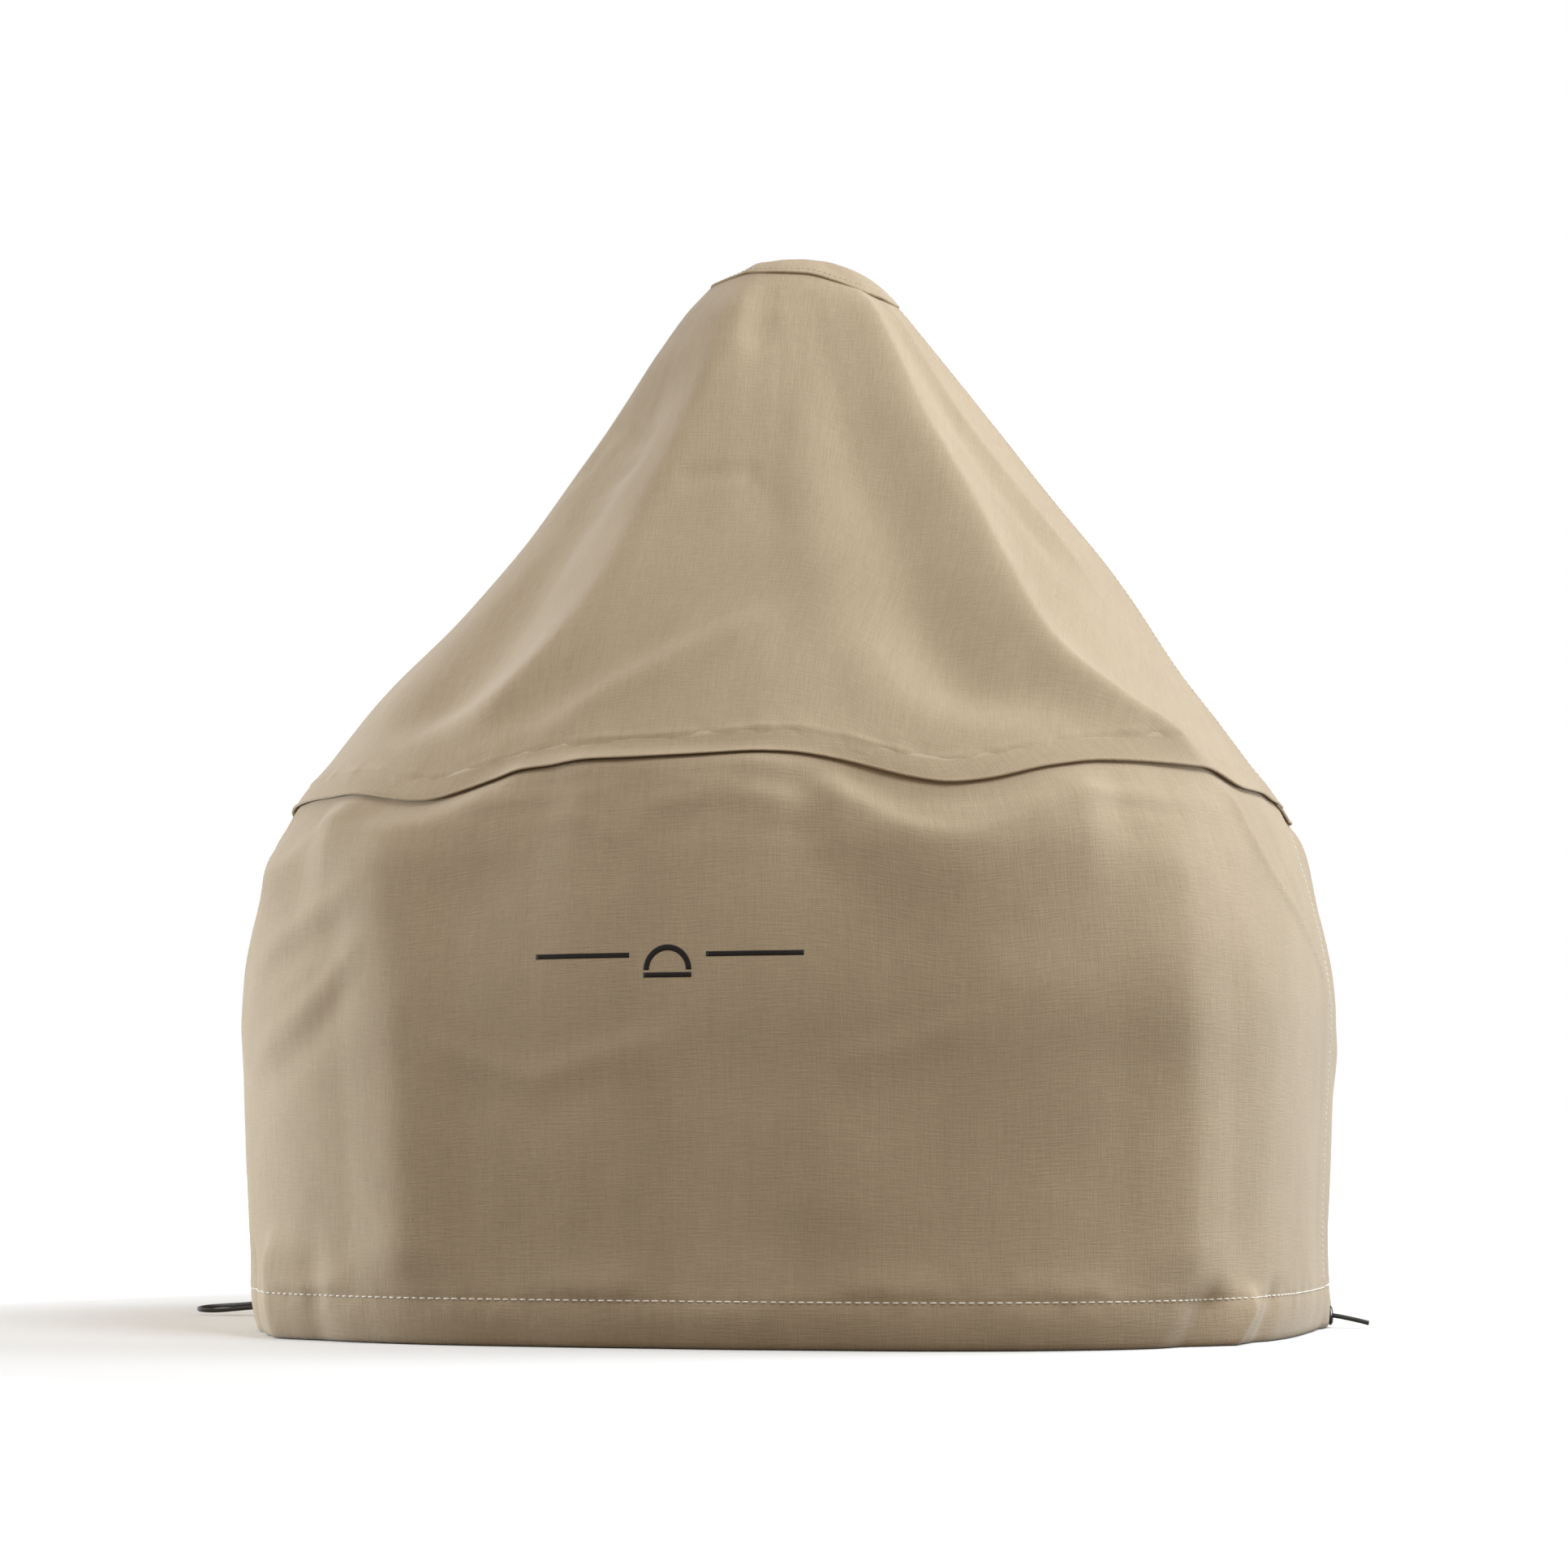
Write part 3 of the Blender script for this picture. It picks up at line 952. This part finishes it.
hem_off = -0.40
pf = line_phi(-180 - LAP + 0.4, LAP - 0.3)
lift_hem = 1.15 * (1 - soft(np.minimum(np.abs(pf + 180 + LAP), np.abs(pf - LAP)), 2 * LAP, 2 * LAP + 4.5))
s1 = stitches("hem_stitch_front", pf, np.full_like(pf, 28.2), hem_off + 0.05 + lift_hem, 0.0056, 0.0045, 0.00049, thread_hem, 3)
pr = line_phi(LAP + 0.3, 180 - LAP - 0.3)
s2 = stitches("hem_stitch_rear", pr, np.full_like(pr, 28.2), np.full_like(pr, hem_off + 0.05), 0.0056, 0.0045, 0.00049, thread_hem, 4)


def hood_line(p0, p1, up, extra=0.0, lap=None):
    p = line_phi(p0, p1)
    z = hood_edge(p) + up
    off = skirt(p, z) + extra
    if lap:
        q = np.minimum(np.abs(p - lap[0]), np.abs(p - lap[1])) * radius(p, z) * math.pi / 180
        off = off + 1.1 * (1 - soft(q, 17, 42))
    return p, z, off


p_, z_, o_ = hood_line(-180 - HLAP + 0.3, HLAP - 0.3, 4.5, 0.05, (-180 - HLAP, HLAP))
s3 = stitches("skirt_stitch_front", p_, z_, o_, 0.0040, 0.0030, 0.00036, thread_top, 5)
p_, z_, o_ = hood_line(HLAP + 0.3, 180 - HLAP - 0.3, 4.5, 0.05)
s4 = stitches("skirt_stitch_rear", p_, z_, o_, 0.0040, 0.0030, 0.00036, thread_top, 6)


def side_rows(name, edge_phi, inward, z0, z1, rows, off, mat, hoodpart=False, seed=9):
    out = []
    z = np.arange(z0, z1, 1.2)
    for k, mm in enumerate(rows):
        p = edge_phi + inward * np.degrees(mm / radius(edge_phi, z))
        o = np.full_like(z, off)
        if hoodpart:
            o = o + skirt(p, z)
        out.append(stitches(f"{name}_{k + 1}", p, z, o, 0.0040, 0.0031, 0.00036, mat, seed + k))
    return out


seam_st = []
for nm, ep, inward in (("right", LAP, -1), ("left", -180 - LAP, 1)):
    seam_st += side_rows("body_seam_stitch_" + nm, ep, inward, 33, 330, (2.4, 8.8), 1.2, thread_hem, seed=11)
for nm, ep, inward in (("right", HLAP, -1), ("left", -180 - HLAP, 1)):
    seam_st += side_rows("hood_seam_stitch_" + nm, ep, inward, 368, 716, (2.2, 7.6), 1.15, thread_top, True, 21)


# ---------------------------------------------------------------- crown, vent net and flap
TOP = np.interp(722, _z, _s) * RIGHT
NA = 120
ang = np.linspace(0, 360, NA, endpoint=False)
rr = np.array([56.6, 55.6, 53.5, 50, 45, 40, 38.6, 38.0])
zz = np.array([721.3, 722.5, 723.2, 723.6, 724.0, 724.3, 724.2, 723.6])
AG, RG = np.meshgrid(ang, rr, indexing="ij")
ZG = np.repeat(zz[None], NA, 0) + 0.25 * noise(AG, RG, 24, 14, 51)
C = np.stack([RG * np.cos(np.radians(AG)), RG * np.sin(np.radians(AG)), ZG], -1) + TOP
D_ = C.copy()
D_[..., 2] -= 0.9
D_[:, -1, :2] = C[:, -1, :2]
D_[:, 0, :2] = (C[:, 0, :2] - TOP[:2]) * 0.985 + TOP[:2]
crown = closed_ring("crown_ring", C / 1000, D_ / 1000, np.stack([C[..., 0], C[..., 1]], -1) / 1000, hood_cloth)
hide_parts("crown_panel")


def net(name, r, pitch, wire, z0):
    """Woven net: two sets of threads that pass over and under each other."""
    verts, faces, uvs = [], [], []
    n = int(r / pitch)
    base_i = 0
    for d_ in (0, 1):
        for k in range(-n, n + 1):
            c = k * pitch
            L = math.sqrt(max(r * r - c * c, 0))
            if L < pitch:
                continue
            t = np.arange(-L, L + 1e-6, pitch / 4)
            h = 0.5 * wire * np.cos(np.pi * (t / pitch + k + d_))
            line = np.stack([t, np.full_like(t, c), z0 + h], 1) if d_ == 0 else np.stack([np.full_like(t, c), t, z0 + h], 1)
            a = np.linspace(0, 2 * np.pi, 6, endpoint=False)
            side = np.array([0, 1, 0]) if d_ == 0 else np.array([1, 0, 0])
            V = line[:, None] + 0.5 * wire * (np.cos(a)[None, :, None] * side + np.sin(a)[None, :, None] * np.array([0, 0, 1]))
            m_, q_ = V.shape[:2]
            i, j = np.meshgrid(np.arange(m_ - 1), np.arange(q_), indexing="ij")
            jn = (j + 1) % q_
            f = np.stack([i * q_ + j, i * q_ + jn, (i + 1) * q_ + jn, (i + 1) * q_ + j], -1).reshape(-1, 4)
            caps = np.array([[0, 1, 2, 3], [0, 3, 4, 5]])
            f = np.concatenate([f, caps[:, ::-1], caps + (m_ - 1) * q_])
            if d_ == 0:
                f = f[:, ::-1]
            verts.append(V.reshape(-1, 3))
            faces.append(f + base_i)
            base_i += V.shape[0] * V.shape[1]
            uvs.append(np.stack(np.broadcast_arrays(t[:, None], a[None] * wire / 2), -1).reshape(-1, 2))
    V = np.concatenate(verts) + TOP
    return mesh_object(name, V / 1000, np.concatenate(faces), np.concatenate(uvs) / 1000, [net_black])


vent = net("vent_net", 43.5, 3.0, 0.8, 725.1)
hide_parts("vent_mesh")

RIM = [(-200, 717, 66), (-180, 722, 61), (-166, 724.5, 60), (-150, 722.5, 60), (-135, 721, 60), (-118, 721.2, 60), (-109, 722.8, 59.5), (-98, 721.6, 60.5), (-85, 720.6, 61.5),
       (-66, 719.4, 62), (-60, 717.8, 63), (-48, 712.5, 67), (-38, 706.5, 74), (-30, 705, 76), (-24, 704.4, 76.8), (-20, 702.6, 78),
       (-8, 703.6, 77.5), (4, 706, 75.5), (16, 709, 72.5), (40, 710, 72), (90, 710, 72), (140, 713, 69.5), (160, 717, 66), (180, 722, 61)]
rim_z = table([(a_, b_) for a_, b_, _ in RIM], -200, 180, 0.5, 1.4)


def reach(A, z):
    """How far the hood's cloth stands from the flap's middle, in the direction A at the height z."""
    phi = np.arange(A - 40, A + 40.1, 1.0)
    p = at(phi, np.full_like(phi, z), 0) * 1000 - TOP
    q = away(np.degrees(np.arctan2(p[:, 1], p[:, 0])), A)
    k = np.argsort(q)
    return float(np.interp(0, q[k], np.hypot(p[:, 0], p[:, 1])[k]))


rim_r = table([(a_, reach(a_, float(rim_z(a_)) - 1.4) + 1.6 + 1.0 * math.exp(-((a_ + 24) / 26) ** 2)) for a_ in range(-200, 181, 4)], -200, 180, 0.5, 1.4)


def flap_at(A, rho, off):
    """Flap: rho is 0 in the middle and 1 at the rim; A the angle."""
    A = np.mod(A + 180, 360) - 180
    z1, r1 = rim_z(A), rim_r(A)
    r = rho * r1
    top = 738.6
    low = 1.0 * np.exp(-(away(A, -142) / 26) ** 2)
    p = 2.9 - 1.2 * low
    fall = rho ** p
    z = top - (top - z1) * fall - 3.4 * low * np.exp(-((rho - 0.72) / 0.22) ** 2)
    z = z + 1.5 * np.exp(-(away(A, -108) / 6) ** 2) * np.exp(-((rho - 0.8) / 0.16) ** 2)
    z = z - 1.6 * np.exp(-(away(A, -46) / 8) ** 2) * np.exp(-((rho - 0.75) / 0.16) ** 2)
    z = z + 0.9 * np.exp(-(away(A, -30) / 7) ** 2) * np.exp(-((rho - 0.86) / 0.12) ** 2)
    z = z + 0.45 * noise(A, rho * 60, 18, 18, 61) * ramp(rho, 0.1, 0.5) * (1 - 0.6 * rho)
    c, s = np.cos(np.radians(A)), np.sin(np.radians(A))
    return np.stack([r * c, r * s, z], -1)


rho = np.concatenate([np.linspace(0.02, 0.9, 26), [0.93, 0.96, 0.985, 1.0]])
AG, RG = np.meshgrid(np.linspace(0, 360, 168, endpoint=False), rho, indexing="ij")
F0 = flap_at(AG, RG, 0)
e1 = np.roll(F0, -1, 0) - np.roll(F0, 1, 0)
e2 = np.gradient(F0, axis=1)
N0 = np.cross(e2, e1)
N0 /= np.linalg.norm(N0, axis=-1)[..., None]
N0 = np.where(N0[..., 2:3] < 0, -N0, N0)
# the rim is folded in: outer face, round the edge, and up the inside
fold_in = [(0.0, -0.30, -0.25), (-0.55, -0.75, -0.8), (-1.3, -0.8, -1.35)]
outer = F0
edge_p, edge_n = F0[:, -1], N0[:, -1]
out_dir = F0[:, -1] - F0[:, -2]
out_dir /= np.linalg.norm(out_dir, axis=-1)[..., None]
wrap = [edge_p + out_dir * 0.45 - edge_n * 0.35, edge_p + out_dir * 0.55 - edge_n * 1.0, edge_p + out_dir * 0.4 - edge_n * 1.65, edge_p - edge_n * 1.95]
back = [F0[:, k] - N0[:, k] * 1.95 for k in (-2, -3, -4, -5, -6, -7)]
A_all = np.concatenate([outer] + [w[:, None] for w in wrap + back], 1) + TOP
inner = F0 - N0 * 0.9
wrap_b = [edge_p - edge_n * 0.93, edge_p - edge_n * 0.98, edge_p - edge_n * 1.02, edge_p - out_dir * 0.1 - edge_n * 1.05]
back_b = [F0[:, k] - N0[:, k] * 1.05 for k in (-2, -3, -4, -5, -6, -7)]
B_all = np.concatenate([inner] + [w[:, None] for w in wrap_b + back_b], 1) + TOP
A_all, B_all = A_all[:, ::-1], B_all[:, ::-1]
flap_uv = np.stack([A_all[..., 0], A_all[..., 1]], -1) / 1000
flap = closed_ring("flap_cap", A_all / 1000, B_all / 1000, flap_uv, flap_cloth, "vent_flap")
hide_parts("vent_flap", "vent_flap_facing")

# the middle of the cap is closed by its own small disc
AGd = np.linspace(0, 360, 48, endpoint=False)
rd = np.array([0.0005, 0.012, 0.028])
AD, RD = np.meshgrid(AGd, rd, indexing="ij")
Fd = flap_at(AD, RD, 0)
cA = Fd + TOP + np.array([0, 0, 0.02])
cB = Fd + TOP - np.array([0, 0, 0.88])
button = closed_ring("flap_cap_centre", cA[:, ::-1] / 1000, cB[:, ::-1] / 1000, np.stack([cA[:, ::-1, 0], cA[:, ::-1, 1]], -1) / 1000, flap_cloth, "vent_flap")

pa = np.arange(0, 360.1, 0.8)
rs = np.full_like(pa, 1.0)
rp = flap_at(pa, rs * (1 - 4.2 / 66), 0)
g1 = flap_at(pa + 0.5, rs * (1 - 4.2 / 66), 0) - flap_at(pa - 0.5, rs * (1 - 4.2 / 66), 0)
g2 = flap_at(pa, rs * (1 - 3.0 / 66), 0) - flap_at(pa, rs * (1 - 5.4 / 66), 0)
nn = np.cross(g1, -g2)
nn /= np.linalg.norm(nn, axis=-1)[..., None]
nn = np.where(nn[..., 2:3] < 0, -nn, nn)
fs = stitches("flap_stitch", None, None, None, 0.0038, 0.0029, 0.00030, thread_top, 31, "vent_flap",
              points=(rp + TOP + nn * 0.05) / 1000, normals=nn)

phi = np.linspace(74, 106, 40)
Z = np.repeat(np.linspace(697, 709, 8)[None], 40, 0)
PH = np.repeat(phi[:, None], 8, 1)
ft_ = strip("flap_seam_tape", PH, Z, np.full(Z.shape, 0.95) + skirt(PH, Z) * 0, np.full(Z.shape, 0.15), tape_cloth, ["vent_flap_seam_tape"])


# ---------------------------------------------------------------- cord inside the hem
def hem_run(name, p0, p1, z0, z1, node):
    p = np.linspace(p0, p1, 150)
    z = np.linspace(z0, z1, 150)
    L = at(p, z, np.full_like(p, -4.7))
    ob_ = tube(name, L, CORD_D / 2, 12, cord_braid)
    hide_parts(node)
    return ob_


hem_run("drawcord_in_front_hem", 7.6, -187.6, 8, 9.6, "drawcord_front_run")
hem_run("drawcord_in_rear_hem", 10.0, 171.6, 8, 6.4, "drawcord_rear_run")


# ---------------------------------------------------------------- CAD parts that stay, with their finish
def finish_node(name, mat):
    o = bpy.data.objects.get(name) or next(x for x in bpy.data.objects if x.get("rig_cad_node") == name)
    o.data.materials.clear()
    o.data.materials.append(mat)
    return o


for n_, m_ in (("left_eyelet", eyelet_black), ("right_eyelet", eyelet_black), ("left_eyelet_washer", eyelet_black),
               ("right_eyelet_washer", eyelet_black), ("cord_lock_barrel", lock_black), ("cord_lock_plunger", plunger_black),
               ("cord_lock_spring", spring_steel), ("cord_end_crimp", crimp_steel)):
    finish_node(n_, m_)


# ---------------------------------------------------------------- sheets
print("LENGTHS loop", round(loop_len, 4), "tail", round(tail_len, 4), "body", round(fw, 3), round(ft, 3), round(rw, 3), round(rt, 3),
      "hood", [round(v, 3) for v in hff], round(hfa, 4), [round(v, 3) for v in hrf], round(hra, 4))


# ---------------------------------------------------------------- floor and light
def area_light(name, loc, target, size, energy, colour=(1, 1, 1), spread=180):
    l = bpy.data.lights.new(name, "AREA")
    l.shape = "RECTANGLE"
    l.spread = rad(spread)
    l.size, l.size_y = size
    l.energy = energy
    l.color = colour
    o = link(bpy.data.objects.new(name, l))
    o.location = loc
    o.rotation_euler = (Vector(target) - Vector(loc)).to_track_quat("-Z", "Y").to_euler()
    return o


me = bpy.data.meshes.new("floor")
me.from_pydata([(-30, -30, 0), (30, -30, 0), (30, 30, 0), (-30, 30, 0)], [], [(0, 1, 2, 3)])
floor = link(bpy.data.objects.new("floor", me))
floor.location = (0, 0, -0.0003)
fm = bpy.data.materials.new("floor_pale")
fm.use_nodes = True
t = fm.node_tree
t.nodes.clear()
out = t.nodes.new("ShaderNodeOutputMaterial")
dif = t.nodes.new("ShaderNodeBsdfDiffuse")
dif.inputs[0].default_value = (0.87, 0.86, 0.85, 1)
em = t.nodes.new("ShaderNodeEmission")
em.inputs[0].default_value = (1, 1, 1, 1)
em.inputs[1].default_value = 0.1
tc = t.nodes.new("ShaderNodeTexCoord")
ln_ = t.nodes.new("ShaderNodeVectorMath")
ln_.operation = "LENGTH"
t.links.new(tc.outputs["Object"], ln_.inputs[0])
mr = t.nodes.new("ShaderNodeMapRange")
mr.inputs["From Min"].default_value = 0.7
mr.inputs["From Max"].default_value = 1.3
mr.inputs["To Min"].default_value = 0.02
mr.inputs["To Max"].default_value = 1.0
t.links.new(ln_.outputs["Value"], mr.inputs["Value"])
t.links.new(mr.outputs[0], em.inputs[1])
add = t.nodes.new("ShaderNodeAddShader")
t.links.new(dif.outputs[0], add.inputs[0])
t.links.new(em.outputs[0], add.inputs[1])
dark = t.nodes.new("ShaderNodeBsdfDiffuse")
dark.inputs[0].default_value = (0.28, 0.255, 0.225, 1)
path = t.nodes.new("ShaderNodeLightPath")
mixs = t.nodes.new("ShaderNodeMixShader")
t.links.new(path.outputs["Is Camera Ray"], mixs.inputs[0])
t.links.new(dark.outputs[0], mixs.inputs[1])
t.links.new(add.outputs[0], mixs.inputs[2])
t.links.new(mixs.outputs[0], out.inputs[0])
floor.data.materials.append(fm)

world = bpy.data.worlds.new("studio")
scene.world = world
world.use_nodes = True
t = world.node_tree
t.nodes.clear()
out = t.nodes.new("ShaderNodeOutputWorld")
bg1 = t.nodes.new("ShaderNodeBackground")
bg1.inputs[0].default_value = (1.0, 0.875, 0.74, 1)
bg1.inputs[1].default_value = 0.47
bg2 = t.nodes.new("ShaderNodeBackground")
bg2.inputs[0].default_value = (1, 1, 1, 1)
bg2.inputs[1].default_value = 1.0
path = t.nodes.new("ShaderNodeLightPath")
mixs = t.nodes.new("ShaderNodeMixShader")
t.links.new(path.outputs["Is Camera Ray"], mixs.inputs[0])
t.links.new(bg1.outputs[0], mixs.inputs[1])
t.links.new(bg2.outputs[0], mixs.inputs[2])
t.links.new(mixs.outputs[0], out.inputs[0])


def around(az, dist, z):
    """A place round the object: az in degrees to the right of the camera's side."""
    a_ = rad(-90 + 14.176 + az)
    return (dist * math.cos(a_), dist * math.sin(a_), z)


area_light("side_left", around(-106, 2.2, 0.30), (0, 0, 0.05), (1.6, 0.4), 8.5, (0.80, 0.90, 1.0), 54)
area_light("side_right", around(110, 2.8, 0.35), (0, 0, 0.35), (1.9, 0.6), 46, (0.80, 0.90, 1.0))
area_light("top_right", around(92, 1.8, 2.0), (0, 0, 0.4), (1.2, 1.2), 34, (0.82, 0.91, 1.0))
area_light("top_front_right", around(34, 1.8, 2.4), (0, 0, 0.4), (1.3, 1.3), 44, (0.86, 0.93, 1.0))

scene.view_settings.view_transform = "Standard"
scene.view_settings.look = "None"
scene.view_settings.exposure = 0
scene.view_settings.gamma = 1
